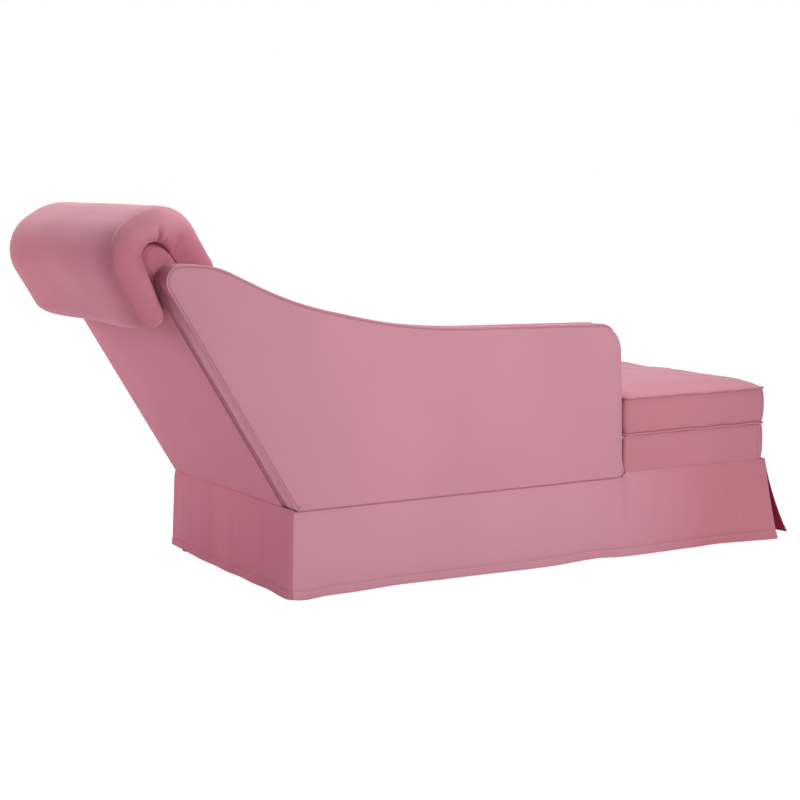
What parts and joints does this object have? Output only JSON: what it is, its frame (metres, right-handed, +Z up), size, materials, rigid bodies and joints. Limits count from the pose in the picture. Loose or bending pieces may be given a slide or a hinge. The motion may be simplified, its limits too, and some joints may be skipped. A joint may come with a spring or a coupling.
{
  "type": "chaise longue",
  "caption": "Skirted chaise longue with a leaning back, a long swooping side arm, a loose seat cushion that wraps in front of the arm, and a saddle-shaped headrest pillow.",
  "frame": {"origin": "on the floor, under the middle of the whole object", "axes": "+X towards the foot end, -Y towards the arm side, +Y towards the open side, +Z up"},
  "size_m": [1.8632, 0.756, 0.8689],
  "materials": {
    "velvet": "matte velvet with a soft sheen",
    "foam": "matte",
    "lining": "matte",
    "dust_cloth": "matte",
    "webbing": "matte",
    "plywood": "unfinished",
    "timber": "unfinished",
    "card": "matte",
    "glide_plastic": "satin",
    "steel": "zinc plated"
  },
  "bodies": {
    "frame": {"arm_bottom_rail": "timber", "arm_boxing": "velvet", "arm_cover_inner": "velvet", "arm_cover_outer": "velvet", "arm_foam": "foam", "arm_front_post": "timber", "arm_piping_inner": "velvet", "arm_piping_outer": "velvet", "arm_ply_inner": "plywood", "arm_ply_outer": "plywood", "arm_rear_post": "timber", "arm_top_batten": "timber", "back_bottom_rail": "timber", "back_cover": "velvet", "back_foam": "foam", "back_middle_rail": "timber", "back_outer_padding": "foam", "back_outer_panel": "velvet", "back_stile_far": "timber", "back_stile_near": "timber", "back_top_rail": "timber", "back_webbing": "webbing", "border_cover_arm_side": "velvet", "border_cover_foot_end": "velvet", "border_cover_open_side": "velvet", "border_padding": "foam", "box_board_arm_side": "plywood", "box_board_foot_end": "plywood", "box_board_head_end": "plywood", "box_board_open_side": "plywood", "corner_blocks": "timber", "cross_rails": "timber", "deck_cover": "lining", "deck_foam": "foam", "dust_cover": "dust_cloth", "glide_feet": "glide_plastic", "glide_nails": "steel", "joint_bolts": "steel", "seat_rail_arm_front": "timber", "seat_rail_foot_end": "timber", "seat_rail_head_end": "timber", "seat_rail_inner": "timber", "seat_rail_open_side": "timber", "seat_webbing": "webbing", "skirt_arm_side": "velvet", "skirt_foot_end": "velvet", "skirt_head_end": "velvet", "skirt_open_side": "velvet", "skirt_pleat_arm_corner": "velvet", "skirt_pleat_open_corner": "velvet", "skirt_tack_strip": "card", "stile_packer": "timber", "threaded_inserts": "steel"},
    "seat_cushion": {"cushion_cover": "velvet", "cushion_foam": "foam", "cushion_piping_bottom": "velvet", "cushion_piping_top": "velvet"},
    "headrest_pillow": {"pillow_cover": "velvet", "pillow_fill": "foam"}
  },
  "joints": [
    {"name": "seat_cushion_lift", "type": "slide", "parent": "frame", "child": "seat_cushion", "axis": [0, 0, 1], "range_m": [0, 0.25]},
    {"name": "headrest_pillow_lift", "type": "slide", "parent": "frame", "child": "headrest_pillow", "axis": [-0.515, 0, 0.8572], "range_m": [0, 0.3]}
  ]
}
